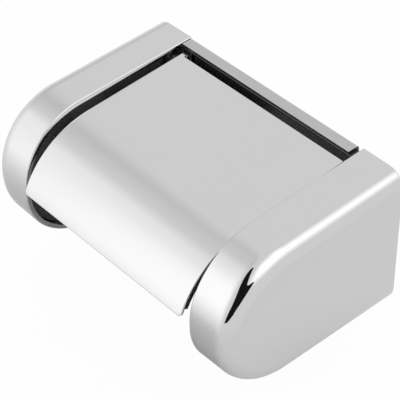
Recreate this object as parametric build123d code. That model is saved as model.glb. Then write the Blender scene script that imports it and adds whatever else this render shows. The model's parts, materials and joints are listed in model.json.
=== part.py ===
from build123d import *
import math
import os

# Wall-mounted toilet paper holder with a hinged lid, in millimetres.
# X runs along the wall, the wall is the plane Y = 0 with the room on the -Y side, and Z is up.
# The origin is midway between the two wall screws, on the wall.
# Right-hand pieces are modelled on the +X side, and left-hand ones are their mirror images.

# Overall form
INNER_WIDTH = 110.0         # between the cheeks' rims
CHEEK_THICKNESS = 23.7
HEIGHT = 76.0               # at the wall
DEPTH = 101.0               # wall to the front of the cheeks
TAPER = 1.45                # degrees, the top and the underside draw together to the front
FRONT_FLAT = 2.1            # upright stretch between the two front roundings
DRAFT = 0.7                 # degrees, the castings narrow away from the roll
EDGE_RADIUS = 8.5           # rounding round the outer face
RIM_RADIUS = 0.8            # rounding of the rim and of the back edge
CASTING_WALL = 2.4

# Screws into the cheeks' bosses
SCREW_RADIUS = 1.5
SCREW_HEAD_RIM = 1.3        # head past the shank
SCREW_HEAD_HEIGHT = 1.9
SCREW_HEAD_ROUND = 0.9
SCREW_LENGTH = 10.0
SCREW_CLEARANCE = 0.2       # shank in a clearance hole
SCREW_TIP_ROOM = 2.0        # boss hole past the screw's end
BOSS_WALL = 2.0
SEAT_CLEARANCE = 0.04       # pressed or screwed pieces in their holes
FRAME_SCREW_SPACING = 32.0
FRAME_SCREW_REACH = 9.0     # frame screws in front of the back plate
COVER_SCREW_SPACING = 32.0
COVER_SCREW_FROM_FRONT = 22.0

# Inner plates, recessed in the cheeks
PLATE_RECESS = 3.0
PLATE_THICKNESS = 2.0
PLATE_CLEARANCE = 0.25
PLATE_CORNER = 1.0
RIB_THICKNESS = 1.2
RIB_HEIGHT = 4.0
RIB_REACH = 20.0            # from the spindle's axis to a rib's end

# Wall bracket, folded sheet
BRACKET_SHEET = 1.2
BRACKET_BEND = 0.4          # inside radius of its folds
BRACKET_DEPTH = 6.6         # upper flange, from the wall
BRACKET_INSET = 0.5         # flanges within the cheeks' height
BRACKET_LEFT_GAP = 0.5
BRACKET_RIGHT_GAP = 2.7
WALL_HOLE_SPACING = 70.0
WALL_HOLE_RADIUS = 2.5

# Set screws and their nuts, in the bracket's lower flange
SET_SPACING = 60.0
SET_RADIUS = 1.5
SET_CHAMFER = 0.3
SET_SOCKET_RADIUS = 0.85
SET_SOCKET_DEPTH = 1.6
SET_END_GAP = 0.1
NUT_WALL = 1.2
NUT_HEIGHT = 2.8
NUT_TENON_WALL = 0.6
NUT_FROM_UPRIGHT = 0.4
NUT_ROOM = 1.2              # nut's top to the back plate
FOOT_MARGIN = 2.5           # lower flange in front of the nut

# Back plate, folded sheet
BACK_SHEET = 1.0
BACK_BEND = 0.6             # inside radius of its folds
BACK_SETBACK = 0.3          # back plate's front face behind the bracket's front edge
BACK_SLIDE = 0.15           # under the bracket's upper flange
BACK_END_GAP = 0.3          # back plate's flanges to the bracket's upright
BACK_SIDE_GAP = 0.4         # back plate's ends to the cheeks' rims
EAR_ROOM = 1.4              # for the lid's ear to swing past the back plate
EAR_HEADROOM = 0.4          # over the ear at rest
ARM_LENGTH = 16.0           # side arms, forward from the back plate
ARM_FOOT = 3.3              # arm's lower edge above the back plate's
ARM_CORNER = 3.0
ARM_EYE_WALL = 2.2          # round the hinge pin
ARM_NECK = 8.0              # height over which the arm narrows to the eye

# Hinge
PIN_RADIUS = 1.5
PIN_SHOULDER = 1.2          # shoulder past the pin
PIN_RIVET = 0.3             # riveted end past the pin
PIN_HEAD = 1.0              # riveted head past that end
PIN_HEAD_HEIGHT = 1.0
PIN_END = 0.8               # pin's end past the lug
PIN_CHAMFER = 0.4
BUSH_WALL = 0.8
BUSH_RIM = 0.75             # bush's flange past its sleeve
BUSH_FLANGE = 0.8
HINGE_SIDE_PLAY = 0.3
HINGE_ROOM = 1.1            # lid's notch to the back plate as it swings past
RUNNING_CLEARANCE = 0.06

# Lid of bent sheet
LID_SHEET = 1.2
LID_GAP = 2.5               # lid's side edge to the cheek's rim
LID_SINK = 3.8              # lid's top face, over the hinge, below the cheeks' top at the wall
LID_DROOP = 3.05            # degrees, slope to the front when closed
LID_BEND_RADIUS = 43.5
LID_BEND_ANGLE = 64.7
LID_OVERHANG = 2.5          # lip's lower edge in front of the cheeks
LID_CORNER = 2.0            # lower corners of the lip
LID_EDGE_RADIUS = 0.5
RETURN_DEPTH = 3.0          # side returns, from the top face down
RETURN_STOP = 4.0           # returns end this far above the lip's edge
EAR_WIDTH = 5.0             # at the left end of the notch, which runs out at the right
EAR_REACH = 4.6             # ear's rear end behind the hinge axis
EAR_CORNER = 1.0
NOTCH_DEPTH = 3.0           # ear's rear end to the notch's edge
EAR_UNDERCUT = 2.4          # the notch's end runs this far under the ear's tip
UNDERCUT_WIDTH = 1.8
LUG_WALL = 1.0              # round the bush
LUG_COVER = 0.2             # lug's round below the lid's top face
LUG_FAIRING = 11.0          # length of the lug's run into the return

# Lid rests
REST_FROM_WALL = 45.0
REST_LENGTH = 8.0
REST_TIP = 2.0              # thickness at the free end
REST_ROOT = 8.0             # thickness at the plate
BUFFER_RADIUS = 2.4
BUFFER_HEIGHT = 1.5
BUFFER_ROUND = 0.4
BUFFER_STEM = 1.2           # stem's radius
BUFFER_TAIL = 1.0           # stem's end below the rest
LID_REST_GAP = 0.3

# Sprung spindle
SPINDLE_FROM_WALL = 64.0
SPINDLE_END_GAP = 1.0       # spindle's shoulder to the inner plate
SPINDLE_CHAMFER = 1.2
SLEEVE_RADIUS = 12.5
SLEEVE_WALL = 1.6
SLEEVE_END = 2.4
SLEEVE_MOUTH = 9.0          # sleeve's mouth past the middle
SLEEVE_LIP = 3.0
PLUNGER_WALL = 1.6
PLUNGER_END = 2.4
PLUNGER_HIDDEN = 24.0       # length of the plunger inside the sleeve
COLLAR_STEP = 0.9           # plunger's collar past its tube
COLLAR_LENGTH = 2.0
TIP_RADIUS = 4.5
TIP_LENGTH = 6.0
TIP_CHAMFER = 1.0
TIP_END_GAP = 0.4
SOCKET_WALL = 3.0
SOCKET_MOUTH = 0.8          # lead-in at the socket's mouth
SPRING_WIRE = 1.2
SPRING_CLEARANCE = 1.4      # spring to the plunger's bore
SPRING_TURNS = 13
SPRING_SEAT_GAP = 0.1
SPRING_SAMPLES = 24         # points a turn for measuring the gap

# Cheeks and inner plates, worked out from the sizes above
half_inner = INNER_WIDTH / 2
half_height = HEIGHT / 2
taper = math.radians(TAPER)
front_half = half_height - DEPTH * math.tan(taper)
front_radius = (front_half - FRONT_FLAT / 2) / math.tan((math.pi / 2 - taper) / 2)
draft_slope = math.tan(math.radians(DRAFT))
plate_face = half_inner + PLATE_RECESS
plate_back = plate_face + PLATE_THICKNESS
beyond = 4 * (INNER_WIDTH + DEPTH + HEIGHT)

# Bracket and back plate
bracket_half = half_height - BRACKET_INSET
nut_radius = SET_RADIUS + SEAT_CLEARANCE + NUT_WALL
nut_tenon = SET_RADIUS + SEAT_CLEARANCE + NUT_TENON_WALL
set_y = -(BRACKET_SHEET + NUT_FROM_UPRIGHT + nut_radius)
foot_y = set_y - nut_radius - FOOT_MARGIN
back_front = BACK_SETBACK - BRACKET_DEPTH
back_rear = back_front + BACK_SHEET
back_top = bracket_half - BRACKET_SHEET - BACK_SLIDE
back_bottom = -(bracket_half - BRACKET_SHEET - NUT_HEIGHT - NUT_ROOM)
arm_inner = plate_face - BACK_SHEET

# Hinge and lid
droop = math.radians(LID_DROOP)
lid_half = half_inner - LID_GAP
return_inner = lid_half - LID_SHEET
bush_bore = PIN_RADIUS + RUNNING_CLEARANCE
bush_radius = bush_bore + BUSH_WALL
lug_bore = bush_radius + SEAT_CLEARANCE
lug_radius = lug_bore + LUG_WALL
hinge_rise = lug_radius + LUG_COVER
notch_reach = EAR_REACH - NOTCH_DEPTH
ear_inner = lid_half - EAR_WIDTH
hinge_y = back_front - HINGE_ROOM - math.hypot(notch_reach, hinge_rise)
hinge_z = half_height - LID_SINK - hinge_rise * math.cos(droop)
rivet_radius = PIN_RADIUS + PIN_RIVET
web_half = ear_inner - EAR_ROOM
web_top = hinge_z - math.hypot(EAR_REACH, hinge_rise) - EAR_ROOM
ear_top = hinge_z + hinge_rise * math.cos(droop) + EAR_REACH * math.sin(droop)
back_half = half_inner - BACK_SIDE_GAP
arm_low = back_bottom + ARM_FOOT

# Lid rests: the buffers stand under the lid's returns
buffer_x = return_inner + BUFFER_RADIUS
return_edge = (hinge_z - (REST_FROM_WALL + hinge_y) * math.tan(droop)
               + (hinge_rise - RETURN_DEPTH) / math.cos(droop))
rest_top = return_edge - LID_REST_GAP - BUFFER_HEIGHT

# Spindle
spindle_y = -SPINDLE_FROM_WALL
shoulder = plate_face - SPINDLE_END_GAP
sleeve_bore = SLEEVE_RADIUS - SLEEVE_WALL
plunger_radius = sleeve_bore - COLLAR_STEP
plunger_bore = plunger_radius - PLUNGER_WALL
spring_radius = plunger_bore - SPRING_CLEARANCE - SPRING_WIRE / 2
socket_radius = TIP_RADIUS + RUNNING_CLEARANCE
socket_end = shoulder + TIP_LENGTH + TIP_END_GAP

# Places of the screws in side view
frame_places = [(back_front - FRAME_SCREW_REACH, s * FRAME_SCREW_SPACING / 2) for s in (1, -1)]
cover_places = [(COVER_SCREW_FROM_FRONT - DEPTH, s * COVER_SCREW_SPACING / 2) for s in (1, -1)]


# Helpers

def left(shape):
    """Mirror image of a right-hand piece."""
    return mirror(shape, about=Plane.YZ)


def both_sides(solids):
    return Compound(children=[*solids, *[left(s) for s in solids]])


def side_view(x):
    """Sketch plane at x along the wall: its x is Y and its y is Z."""
    return Plane(origin=(x, 0, 0), x_dir=(0, 1, 0), z_dir=(1, 0, 0))


def polygon(points):
    return make_face(Polyline(*points, close=True))


def corners(face, points):
    """The face's vertices that lie nearest to the given points."""
    return [face.vertices().sort_by_distance((x, y, 0))[0] for x, y in points]


def rod(radius, x0, x1, y, z):
    """Cylinder along X between x0 and x1."""
    return extrude(side_view(x0) * Pos(y, z) * Circle(radius), amount=x1 - x0)


def upright_rod(radius, x, y, z0, z1):
    """Cylinder along Z between z0 and z1."""
    return extrude(Pos(x, y, z0) * Circle(radius), amount=z1 - z0)


def turned(points, y, z):
    """Solid turned from (x, radius) points about an axis along X at y and z."""
    return Pos(0, y, z) * revolve(polygon(points), axis=Axis.X)


def upright_turned(points, x, y):
    """Solid turned from (radius, z) points about an upright axis at x and y."""
    return Pos(x, y, 0) * revolve(Plane.XZ * polygon(points), axis=Axis.Z)


def room_side(y):
    """Everything on the room side of the plane at y."""
    return Pos(0, y - beyond / 2, 0) * Box(2 * beyond, beyond, 2 * beyond)


# Cheeks

def cheek_outline(x, inset, back):
    """Side view of a cheek at x, inset all round, reaching back to y = back."""
    front = inset - DEPTH
    high = half_height - inset / math.cos(taper)
    high_front, high_back = [high + y * math.tan(taper) for y in (front, back)]
    sheet = polygon([(front, high_front), (back, high_back), (back, -high_back), (front, -high_front)])
    return side_view(x) * fillet(sheet.vertices().group_by(Axis.X)[0], front_radius - inset)


def rounded_block(inset, thickness, radius):
    """Drafted block with a rounded outer edge, which passes the wall so that its back can be cut flat."""
    block = extrude(cheek_outline(half_inner, inset, CHEEK_THICKNESS), amount=thickness, taper=DRAFT)
    outer_edges = block.faces().sort_by(Axis.X)[-1].edges().sort_by(Axis.Y)[:-1]
    return fillet(outer_edges, radius)


def right_cheek():
    """Hollow casting, open towards the roll, with a boss for each screw."""
    outer = rounded_block(0, CHEEK_THICKNESS, EDGE_RADIUS) & room_side(0)
    rim = outer.faces().sort_by(Axis.X)[0]
    wall_face = outer.faces().sort_by(Axis.Y)[-1]
    outer = fillet(rim.edges() + wall_face.edges(), RIM_RADIUS)
    depth = CHEEK_THICKNESS - CASTING_WALL
    cavity = rounded_block(CASTING_WALL, depth, EDGE_RADIUS - CASTING_WALL)
    shell = outer - (cavity & room_side(-CASTING_WALL))
    floor = half_inner + depth + CASTING_WALL / 2
    hole = SCREW_RADIUS + SEAT_CLEARANCE
    for seat, places in ((arm_inner, frame_places), (plate_face, cover_places)):
        for y, z in places:
            shell += rod(hole + BOSS_WALL, plate_back, floor, y, z)
            shell -= rod(hole, plate_back, seat + SCREW_LENGTH + SCREW_TIP_ROOM, y, z)
    return shell


# Inner plates

def lid_rest():
    """Shelf on the inner plate with a sloping underside."""
    section = polygon([(plate_face, rest_top), (return_inner, rest_top),
                       (return_inner, rest_top - REST_TIP), (plate_face, rest_top - REST_ROOT)])
    shelf = Pos(0, -REST_FROM_WALL, 0) * (Plane.XZ * section)
    return extrude(shelf, amount=REST_LENGTH / 2, both=True)


def socket_ribs():
    """Ribs behind the plate that run up, back and down from the spindle's socket."""
    rib = Pos(plate_back + RIB_HEIGHT / 2, RIB_REACH / 2, 0) * Box(RIB_HEIGHT, RIB_REACH, RIB_THICKNESS)
    return [Pos(0, spindle_y, 0) * Rot(X=angle) * rib for angle in (90, 0, -90)]


def right_inner_plate():
    """Moulded cover with the spindle's socket, a lid rest and holes for the screws and hinge pin."""
    inset = CASTING_WALL + draft_slope * (plate_back - half_inner) + PLATE_CLEARANCE
    outline = cheek_outline(plate_face, inset, -(CASTING_WALL + PLATE_CLEARANCE))
    outline = fillet(outline.vertices().group_by(Axis.Y)[-1], PLATE_CORNER)
    plate = extrude(outline, amount=PLATE_THICKNESS)
    plate += rod(socket_radius + SOCKET_WALL, plate_face, socket_end + PLATE_THICKNESS, spindle_y, 0)
    for rib in socket_ribs():
        plate += rib
    plate += lid_rest()
    socket = [(plate_face, 0), (plate_face, socket_radius + SOCKET_MOUTH),
              (plate_face + SOCKET_MOUTH, socket_radius), (socket_end, socket_radius), (socket_end, 0)]
    plate -= turned(socket, spindle_y, 0)
    for y, z in frame_places + cover_places:
        plate -= rod(SCREW_RADIUS + SCREW_CLEARANCE, plate_face, plate_back, y, z)
    plate -= rod(rivet_radius + PIN_HEAD + SCREW_CLEARANCE, plate_face, plate_back, hinge_y, hinge_z)
    plate -= upright_rod(BUFFER_STEM + SEAT_CLEARANCE, buffer_x, -REST_FROM_WALL,
                         rest_top - REST_ROOT, rest_top)
    return plate


def right_buffer():
    """Push-in rubber pad on the lid rest."""
    low = rest_top - REST_ROOT - BUFFER_TAIL
    high = rest_top + BUFFER_HEIGHT
    profile = [(0, low), (BUFFER_STEM, low), (BUFFER_STEM, rest_top), (BUFFER_RADIUS, rest_top),
               (BUFFER_RADIUS, high - BUFFER_ROUND), (BUFFER_RADIUS - BUFFER_ROUND, high), (0, high)]
    return upright_turned(profile, buffer_x, -REST_FROM_WALL)


# Lid

def lid_plane(x):
    """Sketch plane on the hinge axis: its x runs forward along the closed lid, its y up from it."""
    forward = (0, -math.cos(droop), -math.sin(droop))
    return Plane(origin=(x, hinge_y, hinge_z), x_dir=forward, z_dir=(-1, 0, 0))


def lid_flat_end():
    """End of the lid's flat top in front of the hinge, so that the lip's edge comes to its place."""
    bend = math.radians(LID_BEND_ANGLE)
    run = LID_BEND_RADIUS * math.sin(bend)
    fall = LID_BEND_RADIUS * (1 - math.cos(bend))
    reach = DEPTH + LID_OVERHANG + hinge_y
    return (reach - (hinge_rise - fall) * math.sin(droop)) / math.cos(droop) - run


def lid_line(rear, trim, depth):
    """Line at a depth below the top face, from behind the hinge to the lip, shortened there by trim."""
    height = hinge_rise - depth
    flat = Line((-rear, height), (lid_flat_end(), height))
    angle = LID_BEND_ANGLE - math.degrees(trim / LID_BEND_RADIUS)
    bend = JernArc(flat @ 1, flat % 1, LID_BEND_RADIUS - depth, -angle)
    return [flat, bend]


def lid_band(rear, trim, depth):
    """Face between the lid's top line and the line at a depth below it."""
    top = lid_line(rear, trim, 0)
    low = lid_line(rear, trim, depth)
    ends = [Line(top[0] @ 0, low[0] @ 0), Line(top[-1] @ 1, low[-1] @ 1)]
    return make_face([*top, *low, *ends])


def lid_lug():
    """Side view of the lug round the hinge pin, running into the side return."""
    under = hinge_rise - LID_SHEET
    edge = hinge_rise - RETURN_DEPTH
    return make_hull([Circle(lug_radius).edge(), Line((-lug_radius, under), (LUG_FAIRING, under)),
                      Line((LUG_FAIRING, under), (LUG_FAIRING, edge))])


def lid_blank():
    """Bent sheet with its lip's lower corners rounded and its rear notched from under the left ear on."""
    sheet = extrude(lid_plane(0) * lid_band(EAR_REACH, 0, LID_SHEET), amount=lid_half, both=True)
    lip_end = sheet.faces().sort_by(Axis.Z)[0]
    sheet = fillet(lip_end.edges().sort_by(SortBy.LENGTH)[:2], LID_CORNER)
    notch = Rectangle(ear_inner + INNER_WIDTH, 2 * EAR_REACH)
    notch = Pos((INNER_WIDTH - ear_inner) / 2, notch_reach + EAR_REACH) * notch
    undercut = SlotOverall(2 * EAR_UNDERCUT, UNDERCUT_WIDTH)
    notch += Pos(-ear_inner, notch_reach + UNDERCUT_WIDTH / 2) * undercut
    from_above = Plane(origin=(0, hinge_y, hinge_z), x_dir=(1, 0, 0),
                       z_dir=(0, -math.sin(droop), math.cos(droop)))
    sheet -= extrude(from_above * notch, amount=2 * hinge_rise)
    middle = hinge_rise - LID_SHEET / 2
    places = [lid_plane(-x).from_local_coords((-EAR_REACH, middle, 0)) for x in (ear_inner, lid_half)]
    return fillet([sheet.edges().sort_by_distance(place)[0] for place in places], EAR_CORNER)


def lid():
    """Blank with its side returns and hinge lugs, its long top edges slightly rounded."""
    side = extrude(lid_plane(lid_half) * (lid_band(0, RETURN_STOP, RETURN_DEPTH) + lid_lug()),
                   amount=LID_SHEET)
    body = lid_blank() + side + left(side)
    body -= rod(lug_bore, -lid_half, lid_half, hinge_y, hinge_z)
    lines = [lid_plane(lid_half) * line for line in lid_line(0, RETURN_STOP, 0)]
    lines += [left(line) for line in lines]
    top = [body.edges().sort_by_distance(line @ 0.5)[0] for line in lines]
    return fillet(top, LID_EDGE_RADIUS)


# Hinge

def right_hinge_bush():
    """Flanged sleeve in the lid's lug, its flange towards the arm."""
    outer = lid_half + BUSH_FLANGE
    rim = bush_radius + BUSH_RIM
    return turned([(return_inner, bush_bore), (return_inner, bush_radius), (lid_half, bush_radius),
                   (lid_half, rim), (outer, rim), (outer, bush_bore)], hinge_y, hinge_z)


def right_hinge_pin():
    """Shouldered pin riveted in the back plate's arm."""
    step = lid_half + BUSH_FLANGE + HINGE_SIDE_PLAY
    end = return_inner - PIN_END
    head = plate_face + PIN_HEAD_HEIGHT
    head_radius = rivet_radius + PIN_HEAD
    profile = [(end, 0), (end, PIN_RADIUS - PIN_CHAMFER), (end + PIN_CHAMFER, PIN_RADIUS),
               (step, PIN_RADIUS), (step, PIN_RADIUS + PIN_SHOULDER),
               (arm_inner, PIN_RADIUS + PIN_SHOULDER), (arm_inner, rivet_radius),
               (plate_face, rivet_radius), (plate_face, head_radius), (head - PIN_CHAMFER, head_radius),
               (head, head_radius - PIN_CHAMFER), (head, 0)]
    return turned(profile, hinge_y, hinge_z)


# Folded sheets behind the roll

def channel(low, high, low_reach, high_reach, spine, sheet, bend):
    """Side view of a channel: an upright with its outer face at spine, and flanges at low and high."""
    inner = spine + math.copysign(sheet, high_reach - spine)
    face = polygon([(low_reach, low), (spine, low), (spine, high), (high_reach, high),
                    (high_reach, high - sheet), (inner, high - sheet),
                    (inner, low + sheet), (low_reach, low + sheet)])
    face = fillet(corners(face, [(spine, low), (spine, high)]), bend + sheet)
    return fillet(corners(face, [(inner, low + sheet), (inner, high - sheet)]), bend)


def right_arm():
    """Side arm of the back plate, folded forward beside the inner plate, with an eye for the hinge pin."""
    front = back_front - ARM_LENGTH
    section = polygon([(web_half, back_rear), (plate_face, back_rear), (plate_face, front),
                       (arm_inner, front), (arm_inner, back_front), (web_half, back_front)])
    section = fillet(corners(section, [(plate_face, back_rear)]), BACK_BEND + BACK_SHEET)
    section = fillet(corners(section, [(arm_inner, back_front)]), BACK_BEND)
    arm = extrude(Pos(0, 0, arm_low) * section, amount=web_top - arm_low)
    arm = fillet(arm.edges().filter_by(Axis.X).group_by(Axis.Y)[0], ARM_CORNER)
    eye = Pos(hinge_y, hinge_z) * Circle(rivet_radius + ARM_EYE_WALL)
    neck = Line((back_front - BACK_BEND, web_top - ARM_NECK), (front, web_top - ARM_NECK))
    return arm + extrude(side_view(arm_inner) * make_hull([*eye.edges(), neck]), amount=BACK_SHEET)


def back_plate():
    """Folded sheet that bridges the cheeks and hangs inside the bracket, with a window for the lid's ear."""
    reach = -(BRACKET_SHEET + BACK_END_GAP)
    section = channel(back_bottom, back_top, reach, reach, back_front, BACK_SHEET, BACK_BEND)
    plate = extrude(side_view(-back_half) * section, amount=2 * back_half)
    window_top = ear_top + EAR_HEADROOM
    window = Pos(-(web_half + back_half) / 2, back_front, (web_top + window_top) / 2)
    plate -= window * Box(back_half - web_half, 2 * (BACK_SHEET + BACK_BEND), window_top - web_top)
    arm = right_arm()
    plate += arm + left(arm)
    for y, z in frame_places:
        plate -= rod(SCREW_RADIUS + SCREW_CLEARANCE, -plate_face, plate_face, y, z)
    return plate - rod(rivet_radius + SEAT_CLEARANCE, -plate_face, plate_face, hinge_y, hinge_z)


def wall_bracket():
    """Channel screwed to the wall, its upper flange showing between the cheeks."""
    x0 = BRACKET_LEFT_GAP - half_inner
    x1 = half_inner - BRACKET_RIGHT_GAP
    section = channel(-bracket_half, bracket_half, foot_y, -BRACKET_DEPTH, 0, BRACKET_SHEET, BRACKET_BEND)
    body = extrude(side_view(x0) * section, amount=x1 - x0)
    for side in (1, -1):
        hole = Plane.XZ * Pos(side * WALL_HOLE_SPACING / 2, 0) * Circle(WALL_HOLE_RADIUS)
        body -= extrude(hole, amount=2 * BRACKET_SHEET, both=True)
        body -= upright_rod(nut_tenon + SEAT_CLEARANCE, side * SET_SPACING / 2, set_y,
                            -half_height, 2 * BRACKET_SHEET - bracket_half)
    return body


# Fasteners

def right_clinch_nut():
    """Nut clinched in the bracket's lower flange."""
    seat = BRACKET_SHEET - bracket_half
    bore = SET_RADIUS + SEAT_CLEARANCE
    profile = [(bore, -bracket_half), (nut_tenon, -bracket_half), (nut_tenon, seat), (nut_radius, seat),
               (nut_radius, seat + NUT_HEIGHT), (bore, seat + NUT_HEIGHT)]
    return upright_turned(profile, SET_SPACING / 2, set_y)


def right_set_screw():
    """Headless screw from below that lifts and clamps the back plate."""
    low = -bracket_half
    high = back_bottom - SET_END_GAP
    profile = [(0, low + SET_SOCKET_DEPTH), (SET_SOCKET_RADIUS, low + SET_SOCKET_DEPTH),
               (SET_SOCKET_RADIUS, low), (SET_RADIUS, low), (SET_RADIUS, high - SET_CHAMFER),
               (SET_RADIUS - SET_CHAMFER, high), (0, high)]
    return upright_turned(profile, SET_SPACING / 2, set_y)


def screw(seat, y, z):
    """Pan-head screw into a right-hand boss, its head seated at x = seat."""
    head = seat - SCREW_HEAD_HEIGHT
    head_radius = SCREW_RADIUS + SCREW_HEAD_RIM
    end = seat + SCREW_LENGTH
    profile = [(head, 0), (head, head_radius - SCREW_HEAD_ROUND), (head + SCREW_HEAD_ROUND, head_radius),
               (seat, head_radius), (seat, SCREW_RADIUS), (end - SCREW_RADIUS, SCREW_RADIUS), (end, 0)]
    return turned(profile, y, z)


# Sprung spindle

def spindle_sleeve():
    """Outer half with a fixed tip on the left and a lip at its mouth that guides the plunger."""
    lip = plunger_radius + RUNNING_CLEARANCE
    lip_start = SLEEVE_MOUTH - SLEEVE_LIP
    tip_end = -shoulder - TIP_LENGTH
    bottom = SLEEVE_END - shoulder
    profile = [(tip_end, 0), (tip_end, TIP_RADIUS - TIP_CHAMFER), (tip_end + TIP_CHAMFER, TIP_RADIUS),
               (-shoulder, TIP_RADIUS), (-shoulder, SLEEVE_RADIUS - SPINDLE_CHAMFER),
               (SPINDLE_CHAMFER - shoulder, SLEEVE_RADIUS), (SLEEVE_MOUTH, SLEEVE_RADIUS),
               (SLEEVE_MOUTH, lip), (lip_start, lip), (lip_start, sleeve_bore), (bottom, sleeve_bore),
               (bottom, 0)]
    return turned(profile, spindle_y, 0)


def spindle_plunger():
    """Inner half with the sprung tip on the right and a collar that keeps it in the sleeve."""
    collar = sleeve_bore - RUNNING_CLEARANCE
    start = SLEEVE_MOUTH - PLUNGER_HIDDEN
    tip_end = shoulder + TIP_LENGTH
    bottom = shoulder - PLUNGER_END
    profile = [(start, plunger_bore), (start, collar), (start + COLLAR_LENGTH, collar),
               (start + COLLAR_LENGTH, plunger_radius), (shoulder - SPINDLE_CHAMFER, plunger_radius),
               (shoulder, plunger_radius - SPINDLE_CHAMFER), (shoulder, TIP_RADIUS),
               (tip_end - TIP_CHAMFER, TIP_RADIUS), (tip_end, TIP_RADIUS - TIP_CHAMFER), (tip_end, 0),
               (bottom, 0), (bottom, plunger_bore)]
    return turned(profile, spindle_y, 0)


def helix_point(turn, start, pitch):
    angle = 2 * math.pi * turn
    return Vector(start + pitch * turn, spring_radius * math.cos(angle), spring_radius * math.sin(angle))


def helix_direction(turn, pitch):
    angle = 2 * math.pi * turn
    around = 2 * math.pi * spring_radius
    return Vector(pitch, -around * math.sin(angle), around * math.cos(angle)).normalized()


def biarc(p0, t0, p1, t1):
    """Two arcs that join p0 to p1, leaving along t0 and arriving along t1."""
    chord = p1 - p0
    turn = 2 * (1 - t0.dot(t1))
    along = chord.dot(t0 + t1)
    reach = (math.sqrt(along * along + turn * chord.dot(chord)) - along) / turn
    q0 = p0 + t0 * reach
    q1 = p1 - t1 * reach
    middle = (q0 + q1) * 0.5
    return [TangentArc(p0, middle, tangent=t0), TangentArc(middle, p1, tangent=(q1 - q0).normalized())]


def least_gap(points, skip):
    """Least distance between points at least skip places apart, less the wire."""
    pairs = [(p - q).length for i, p in enumerate(points) for q in points[i + skip:]]
    return min(pairs) - SPRING_WIRE


def spindle_spring():
    """Compression spring between the end walls of the sleeve and the plunger, in quarter-turn biarcs."""
    start = SLEEVE_END - shoulder + SPRING_SEAT_GAP + SPRING_WIRE / 2
    end = shoulder - PLUNGER_END - SPRING_SEAT_GAP - SPRING_WIRE / 2
    pitch = (end - start) / SPRING_TURNS
    edges = []
    for quarter in range(4 * SPRING_TURNS):
        t0, t1 = quarter / 4, (quarter + 1) / 4
        edges += biarc(helix_point(t0, start, pitch), helix_direction(t0, pitch),
                       helix_point(t1, start, pitch), helix_direction(t1, pitch))
    path = Wire(edges)
    coil = sweep(Plane(path @ 0, z_dir=path % 0) * Circle(SPRING_WIRE / 2), path=path)
    samples = [helix_point(n / SPRING_SAMPLES, start, pitch) for n in range(SPRING_SAMPLES * SPRING_TURNS)]
    print("spring: least gap to itself", round(least_gap(samples, SPRING_SAMPLES // 2), 2), "mm")
    return Pos(0, spindle_y, 0) * coil


cheek = right_cheek()
inner_plate = right_inner_plate()
hinge_pin = right_hinge_pin()
hinge_bush = right_hinge_bush()

nodes = {
    "left_cheek": left(cheek),
    "right_cheek": cheek,
    "left_inner_plate": left(inner_plate),
    "right_inner_plate": inner_plate,
    "lid": lid(),
    "lid_buffers": both_sides([right_buffer()]),
    "left_hinge_pin": left(hinge_pin),
    "right_hinge_pin": hinge_pin,
    "left_hinge_bush": left(hinge_bush),
    "right_hinge_bush": hinge_bush,
    "back_plate": back_plate(),
    "wall_bracket": wall_bracket(),
    "clinch_nuts": both_sides([right_clinch_nut()]),
    "set_screws": both_sides([right_set_screw()]),
    "frame_screws": both_sides([screw(arm_inner, y, z) for y, z in frame_places]),
    "cover_screws": both_sides([screw(plate_face, y, z) for y, z in cover_places]),
    "spindle_sleeve": spindle_sleeve(),
    "spindle_plunger": spindle_plunger(),
    "spindle_spring": spindle_spring(),
}

os.makedirs("parts", exist_ok=True)
for name, shape in nodes.items():
    export_step(shape, f"parts/{name}.step")
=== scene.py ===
import json
import math

import bmesh
import bpy
from mathutils import Matrix, Vector

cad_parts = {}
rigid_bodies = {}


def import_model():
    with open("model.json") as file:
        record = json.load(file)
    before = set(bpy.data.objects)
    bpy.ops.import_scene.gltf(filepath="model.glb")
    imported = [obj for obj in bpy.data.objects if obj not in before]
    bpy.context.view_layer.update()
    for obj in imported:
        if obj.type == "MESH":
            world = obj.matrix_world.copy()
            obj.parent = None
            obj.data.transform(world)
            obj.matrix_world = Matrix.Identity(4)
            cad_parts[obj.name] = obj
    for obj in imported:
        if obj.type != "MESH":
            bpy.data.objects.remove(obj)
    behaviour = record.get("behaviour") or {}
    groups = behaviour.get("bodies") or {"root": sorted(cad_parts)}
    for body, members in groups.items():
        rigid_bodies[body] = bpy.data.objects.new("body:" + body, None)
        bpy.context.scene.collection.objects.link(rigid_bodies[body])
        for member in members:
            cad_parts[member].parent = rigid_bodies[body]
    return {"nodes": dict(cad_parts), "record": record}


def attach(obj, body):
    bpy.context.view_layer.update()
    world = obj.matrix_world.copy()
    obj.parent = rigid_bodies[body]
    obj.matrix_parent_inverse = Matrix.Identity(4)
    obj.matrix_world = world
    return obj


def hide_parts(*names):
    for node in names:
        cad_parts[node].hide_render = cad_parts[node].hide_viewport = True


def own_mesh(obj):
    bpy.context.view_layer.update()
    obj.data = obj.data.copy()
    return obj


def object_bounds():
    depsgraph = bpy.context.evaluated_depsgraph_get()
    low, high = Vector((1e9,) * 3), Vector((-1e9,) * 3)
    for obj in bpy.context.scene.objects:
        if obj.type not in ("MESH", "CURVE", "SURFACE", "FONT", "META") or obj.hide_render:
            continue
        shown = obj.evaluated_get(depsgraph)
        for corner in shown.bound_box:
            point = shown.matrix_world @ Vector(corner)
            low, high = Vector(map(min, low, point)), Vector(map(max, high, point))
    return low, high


# Looks of a wall-mounted toilet paper holder in chrome, above a pale studio floor. Metres and degrees.

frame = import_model()
cad_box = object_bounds()

WHITE = (1, 1, 1, 1)

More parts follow.
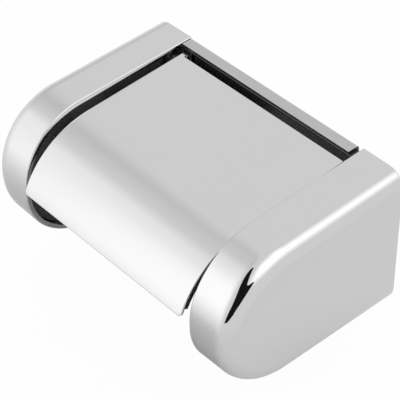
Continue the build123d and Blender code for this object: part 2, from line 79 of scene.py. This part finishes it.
# Camera, looking down on the holder from the front right. Lens and sensor are in millimetres.
CAMERA_AZIMUTH = 48.79
CAMERA_ELEVATION = 41.65
CAMERA_ROLL = -1.14
CAMERA_DISTANCE = 0.7124
CAMERA_AIM = (0.00037, -0.04564, -0.00008)
CAMERA_LENS = 143.24
CAMERA_SENSOR = 36.0

# Floor
FLOOR_HALF_WIDTH = 4.0
FLOOR_DROP = 0.02                   # below the holder, which hangs on a wall
FLOOR_GREY = 0.66
FLOOR_WHITE_SHARE = 0.97            # of plain white in the floor that the camera sees
FLOOR_MIDDLE = (-0.035, -0.07, 0.0)
FLOOR_FADE = (0.088, 0.178)         # in metal the floor gives way to the room over these distances

# Room and its soft lights. Heading 0 is the front, 90 the right and -90 the left.
# A light lies between two headings, which lean by so much a degree of elevation, and between two elevations,
# the upper of which drops by so much a degree of heading. Bounds have soft edges of the given half widths.
# A light with a negative gain is a soft shade.
ROOM_LIGHT = 1.0
SOFT_LIGHTS = (
    {"headings": (-74, -10), "side_edge": 28, "lean": 0.0, "elevations": (-14, 29), "edge": 19, "drop": 0.4,
     "gain": 0.374},
    {"headings": (-40, -10), "side_edge": 10, "lean": 0.0, "elevations": (-14, 29), "edge": 19, "drop": 0.4,
     "gain": 0.264},
    {"headings": (52, 152), "side_edge": 20, "lean": 0.0, "elevations": (31, 74), "edge": 14, "drop": 0.0,
     "gain": 0.725},
    {"headings": (-152, -106), "side_edge": 12, "lean": 1.0, "elevations": (14, 72), "edge": 10, "drop": 0.0,
     "gain": -0.198},
    {"headings": (-200, 200), "side_edge": 10, "lean": 0.0, "elevations": (-110, -28), "edge": 12,
     "drop": 0.0, "gain": -0.066},
)

# Black flag, with its outline as heading and elevation from the right cheek's front edge
FLAG_COLOUR = (0.012, 0.012, 0.012, 1)
FLAG_CENTRE = (0.0745, -0.0895, 0.022)
FLAG_DISTANCE = 0.06
FLAG_OUTLINE = ((4, -17), (16, -16), (24, -12), (33, -6), (41, 2), (49, 9), (54, 14), (60, 21), (65, 27),
                (70, 32), (73, 37), (72, 41), (62, 43), (53, 43), (45, 45), (40, 52), (35, 59), (30, 65),
                (18, 73), (3, 80), (-31, 82), (-47, 79), (-42, 73), (-26, 66), (-16, 60), (-7, 53), (1, 45),
                (8, 37), (12, 27), (13, 20), (13, 12), (11, 3), (8, -5))

# Spring in the spindle, and the joint that presses it
SPRING_NODE = "spindle_spring"
SPRING_JOINT = "plunger_slide"
SPRING_SLOT = "steel"

# Finishes. Grain is in cells a metre and relief in metres.
# Noise runs from a dark to a light shade, and over its span from the lower to the higher roughness.
NOISE_DETAIL = 3.0
NOISE_SPAN = (0.3, 0.7)

CHROME_DARK = (0.595925, 0.595925, 0.59888)
CHROME_LIGHT = (0.605, 0.605, 0.608)
CHROME_HAZE_GRAIN = 45.0
CHROME_FINE_GRAIN = 900.0
CHROME_ROUGHNESS = (0.03, 0.045)

BRUSHED_DARK = (0.419, 0.419, 0.423)
BRUSHED_LIGHT = (0.546, 0.546, 0.551)
# Near-black painted shade for the faces that don't point up
BRUSHED_PAINTED_SHADE = (0.008, 0.008, 0.008, 1)
BRUSHED_FACING = (0.6, 0.95)        # upward part of the normal over which a face goes from painted shade to bare steel
BRUSHED_GRAIN = 3000.0
BRUSHED_STRETCH = (0.02, 1, 1)
BRUSHED_DETAIL = 4.0
BRUSHED_SPAN = (0.25, 0.75)
BRUSHED_ROUGHNESS = (0.24, 0.4)
BRUSHED_RELIEF = 0.00003

STEEL_DARK = (0.425, 0.425, 0.42925)
STEEL_LIGHT = (0.5, 0.5, 0.505)
STEEL_GRAIN = 400.0
STEEL_ROUGHNESS = (0.25, 0.35)

MOULDED = {
    "black_sheet": {"dark": (0.006, 0.006, 0.0065), "light": (0.012, 0.012, 0.0125),
                    "roughness": (0.22, 0.264), "grain": 2500.0, "relief": 0.000003},
    "dark_plastic": {"dark": (0.035, 0.035, 0.036), "light": (0.05, 0.05, 0.051),
                     "roughness": (0.4, 0.48), "grain": 1800.0, "relief": 0.00002},
    "acetal": {"dark": (0.008, 0.008, 0.009), "light": (0.014, 0.014, 0.015),
               "roughness": (0.4, 0.48), "grain": 1200.0, "relief": 0.00002},
    "rubber": {"dark": (0.012, 0.012, 0.012), "light": (0.025, 0.025, 0.025),
               "roughness": (0.7, 0.84), "grain": 1500.0, "relief": 0.00002},
}


# Node helpers

def node(tree, kind, inputs=None, **settings):
    """Adds a node with its settings, and with inputs given as values or as other nodes' sockets."""
    made = tree.nodes.new(kind)
    for key, value in settings.items():
        setattr(made, key, value)
    for key, value in (inputs or {}).items():
        if isinstance(value, bpy.types.NodeSocket):
            tree.links.new(value, made.inputs[key])
        else:
            made.inputs[key].default_value = value
    return made


def calc(tree, operation, *values):
    """Math node's result."""
    return node(tree, "ShaderNodeMath", dict(enumerate(values)), operation=operation).outputs[0]


def ramp(tree, value, span, ends=(0.0, 1.0)):
    """Smooth change from the first end to the second as value goes over the span."""
    inputs = {"Value": value, "From Min": span[0], "From Max": span[1], "To Min": ends[0], "To Max": ends[1]}
    return node(tree, "ShaderNodeMapRange", inputs, interpolation_type="SMOOTHSTEP").outputs[0]


def above(tree, value, bound, edge):
    """0 below the bound and 1 above it, with a soft edge of that half width."""
    return ramp(tree, value, (bound - edge, bound + edge))


def below(tree, value, bound, edge):
    """1 below the bound and 0 above it, with a soft edge of that half width."""
    return ramp(tree, value, (bound - edge, bound + edge), (1.0, 0.0))


def product(tree, first, *others):
    """Product of values."""
    for other in others:
        first = calc(tree, "MULTIPLY", first, other)
    return first


def blend(tree, share, first, second):
    """Mix of two shaders' sockets."""
    return node(tree, "ShaderNodeMixShader", {0: share, 1: first, 2: second}).outputs[0]


# Studio

def direction(heading, elevation):
    """Unit vector at a heading from the front towards the right, and an elevation."""
    h, e = math.radians(heading), math.radians(elevation)
    return Vector((math.sin(h) * math.cos(e), -math.cos(h) * math.cos(e), math.sin(e)))


def stage_object(name, mesh, material):
    """Object in the scene that isn't part of the holder."""
    made = bpy.data.objects.new(name, mesh)
    bpy.context.scene.collection.objects.link(made)
    mesh.materials.append(material)
    return made


def empty_material(name):
    """New material with an empty node tree."""
    material = bpy.data.materials.new(name)
    material.use_nodes = True
    material.node_tree.nodes.clear()
    return material, material.node_tree


def make_world():
    """White room, which metal shows with its soft lights; the camera itself sees plain white."""
    world = bpy.data.worlds.new("studio")
    bpy.context.scene.world = world
    world.use_nodes = True
    tree = world.node_tree
    tree.nodes.clear()
    way = node(tree, "ShaderNodeTexCoord").outputs["Generated"]
    x, y, z = node(tree, "ShaderNodeSeparateXYZ", {0: way}).outputs
    heading = calc(tree, "DEGREES", calc(tree, "ARCTAN2", x, calc(tree, "MULTIPLY", y, -1.0)))
    elevation = calc(tree, "DEGREES", calc(tree, "ARCSINE", z))
    level = ROOM_LIGHT
    for light in SOFT_LIGHTS:
        (left, right), (low, high) = light["headings"], light["elevations"]
        sideways = calc(tree, "MULTIPLY_ADD", elevation, -light["lean"], heading)
        upward = calc(tree, "MULTIPLY_ADD", heading, light["drop"], elevation)
        mask = product(tree, above(tree, sideways, left, light["side_edge"]),
                       below(tree, sideways, right, light["side_edge"]),
                       above(tree, elevation, low, light["edge"]), below(tree, upward, high, light["edge"]))
        level = calc(tree, "MULTIPLY_ADD", mask, light["gain"], level)
    room = node(tree, "ShaderNodeBackground", {"Color": WHITE, "Strength": level}).outputs[0]
    white = node(tree, "ShaderNodeBackground", {"Color": WHITE}).outputs[0]
    seen = node(tree, "ShaderNodeLightPath").outputs["Is Camera Ray"]
    node(tree, "ShaderNodeOutputWorld", {"Surface": blend(tree, seen, room, white)})


def make_floor():
    """Pale floor below the holder, which keeps the shadow and can't be seen from below."""
    material, tree = empty_material("floor")
    path = node(tree, "ShaderNodeLightPath").outputs
    place = node(tree, "ShaderNodeNewGeometry").outputs
    share = calc(tree, "MULTIPLY", path["Is Camera Ray"], FLOOR_WHITE_SHARE)
    pale = node(tree, "ShaderNodeBsdfDiffuse", {"Color": (FLOOR_GREY, FLOOR_GREY, FLOOR_GREY, 1)}).outputs[0]
    white = node(tree, "ShaderNodeEmission", {"Color": WHITE}).outputs[0]
    clear = node(tree, "ShaderNodeBsdfTransparent").outputs[0]
    away = node(tree, "ShaderNodeVectorMath", {0: place["Position"], 1: FLOOR_MIDDLE}, operation="DISTANCE")
    faded = calc(tree, "MULTIPLY", ramp(tree, away.outputs["Value"], FLOOR_FADE), path["Is Glossy Ray"])
    hidden = calc(tree, "MAXIMUM", faded, place["Backfacing"])
    surface = blend(tree, hidden, blend(tree, share, pale, white), clear)
    node(tree, "ShaderNodeOutputMaterial", {"Surface": surface})
    half, height = FLOOR_HALF_WIDTH, cad_box[0].z - FLOOR_DROP
    corners = [(-half, -half, height), (half, -half, height), (half, half, height), (-half, half, height)]
    mesh = bpy.data.meshes.new("floor")
    mesh.from_pydata(corners, [], [(0, 1, 2, 3)])
    stage_object("floor", mesh, material)


def make_flag():
    """Black flag that only shows as a reflection in polished metal."""
    material, tree = empty_material("flag")
    black = node(tree, "ShaderNodeEmission", {"Color": FLAG_COLOUR}).outputs[0]
    node(tree, "ShaderNodeOutputMaterial", {"Surface": black})
    centre = Vector(FLAG_CENTRE)
    shape = bmesh.new()
    corners = [centre + FLAG_DISTANCE * direction(*corner) for corner in FLAG_OUTLINE]
    shape.faces.new([shape.verts.new(corner) for corner in corners])
    bmesh.ops.triangulate(shape, faces=shape.faces[:])
    mesh = bpy.data.meshes.new("flag")
    shape.to_mesh(mesh)
    shape.free()
    flag = stage_object("flag", mesh, material)
    flag.visible_camera = False
    flag.visible_diffuse = False
    flag.visible_shadow = False
    flag.visible_transmission = False


def make_camera():
    """Camera at its distance from the aim, rolled about the line of sight."""
    back = direction(CAMERA_AZIMUTH, CAMERA_ELEVATION)
    level = Vector((0, 0, 1)).cross(back).normalized()
    right = Matrix.Rotation(math.radians(CAMERA_ROLL), 3, back) @ level
    up = back.cross(right)
    camera = bpy.data.objects.new("camera", bpy.data.cameras.new("camera"))
    bpy.context.scene.collection.objects.link(camera)
    camera.data.sensor_width = CAMERA_SENSOR
    camera.data.lens = CAMERA_LENS
    rotation = Matrix((right, up, back)).transposed().to_4x4()
    camera.matrix_world = Matrix.Translation(Vector(CAMERA_AIM) + CAMERA_DISTANCE * back) @ rotation
    bpy.context.scene.camera = camera


# Materials

def shaded_material(name):
    """New material, its node tree, its principled shader and object coordinates."""
    material = bpy.data.materials.new(name)
    material.use_nodes = True
    tree = material.node_tree
    shader = tree.nodes["Principled BSDF"]
    place = node(tree, "ShaderNodeTexCoord").outputs["Object"]
    return material, tree, shader, place


def speckle(tree, place, grain, stretch=(1, 1, 1), detail=NOISE_DETAIL):
    """Noise value in object space."""
    moved = node(tree, "ShaderNodeMapping", {"Vector": place, "Scale": stretch}).outputs[0]
    inputs = {"Vector": moved, "Scale": grain, "Detail": detail}
    return node(tree, "ShaderNodeTexNoise", inputs).outputs["Fac"]


def mixed(tree, value, first, second):
    """Colour between two, given with alpha or as sockets, as value goes from 0 to 1."""
    return node(tree, "ShaderNodeMix", {0: value, 6: first, 7: second}, data_type="RGBA").outputs[2]


def shades(tree, value, dark, light):
    """Colour between two shades as value goes from 0 to 1."""
    return mixed(tree, value, (*dark, 1), (*light, 1))


def bump(tree, shader, height, distance):
    """Surface relief of that depth."""
    made = node(tree, "ShaderNodeBump", {"Height": height, "Distance": distance})
    tree.links.new(made.outputs[0], shader.inputs["Normal"])


def chrome(name):
    """Polished chrome plate with a trace of polishing haze."""
    material, tree, shader, place = shaded_material(name)
    haze = speckle(tree, place, CHROME_HAZE_GRAIN)
    fine = speckle(tree, place, CHROME_FINE_GRAIN)
    tree.links.new(shades(tree, haze, CHROME_DARK, CHROME_LIGHT), shader.inputs["Base Color"])
    tree.links.new(ramp(tree, fine, NOISE_SPAN, CHROME_ROUGHNESS), shader.inputs["Roughness"])
    shader.inputs["Metallic"].default_value = 1.0
    return material


def brushed(name):
    """Steel brushed along the wall on its upper faces, with painted shade, near black and not metal, on its
    other faces.
    """
    material, tree, shader, place = shaded_material(name)
    facing = node(tree, "ShaderNodeTexCoord").outputs["Normal"]
    unshaded = ramp(tree, node(tree, "ShaderNodeSeparateXYZ", {0: facing}).outputs["Z"], BRUSHED_FACING)
    lines = speckle(tree, place, BRUSHED_GRAIN, BRUSHED_STRETCH, BRUSHED_DETAIL)
    steel = shades(tree, lines, BRUSHED_DARK, BRUSHED_LIGHT)
    # Faces that don't point up get the painted shade in place of the brushed steel
    tree.links.new(mixed(tree, unshaded, BRUSHED_PAINTED_SHADE, steel), shader.inputs["Base Color"])
    tree.links.new(ramp(tree, lines, BRUSHED_SPAN, BRUSHED_ROUGHNESS), shader.inputs["Roughness"])
    tree.links.new(unshaded, shader.inputs["Metallic"])
    bump(tree, shader, product(tree, lines, unshaded), BRUSHED_RELIEF)
    return material


def plated_steel(name):
    """Plated steel with faint mottling."""
    material, tree, shader, place = shaded_material(name)
    mottle = speckle(tree, place, STEEL_GRAIN)
    tree.links.new(shades(tree, mottle, STEEL_DARK, STEEL_LIGHT), shader.inputs["Base Color"])
    tree.links.new(ramp(tree, mottle, NOISE_SPAN, STEEL_ROUGHNESS), shader.inputs["Roughness"])
    shader.inputs["Metallic"].default_value = 1.0
    return material


def moulded(name):
    """Moulded plastic, rubber or coating with a fine grain."""
    look = MOULDED[name]
    material, tree, shader, place = shaded_material(name)
    grains = speckle(tree, place, look["grain"])
    tree.links.new(shades(tree, grains, look["dark"], look["light"]), shader.inputs["Base Color"])
    tree.links.new(ramp(tree, grains, NOISE_SPAN, look["roughness"]), shader.inputs["Roughness"])
    bump(tree, shader, grains, look["relief"])
    return material


def make_finishes():
    """Material of each slot."""
    return {
        "chrome": chrome("chrome"),
        "plated_plastic": chrome("plated_plastic"),
        "brushed_sheet": brushed("brushed_sheet"),
        "steel": plated_steel("steel"),
        **{name: moulded(name) for name in MOULDED},
    }


def dress(finishes):
    """Gives each node the finish of its material slot."""
    for part in frame["record"]["subparts"]:
        for slot in frame["nodes"][part["node"]].material_slots:
            slot.material = finishes[part["material_slot"]]


def make_spring(finishes):
    """Coil that stands for the spring's solid, on the body that holds the plunger's slide."""
    slide = next(j for j in frame["record"]["behaviour"]["joints"] if j["name"] == SPRING_JOINT)
    coil = bpy.data.objects.new("spring_coil", frame["nodes"][SPRING_NODE].data.copy())
    bpy.context.scene.collection.objects.link(coil)
    coil.data.materials.clear()
    coil.data.materials.append(finishes[SPRING_SLOT])
    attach(coil, slide["parent"])
    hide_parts(SPRING_NODE)
    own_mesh(coil)


bpy.context.scene.view_settings.view_transform = "Standard"
make_world()
make_floor()
make_flag()
make_camera()
finishes = make_finishes()
dress(finishes)
make_spring(finishes)
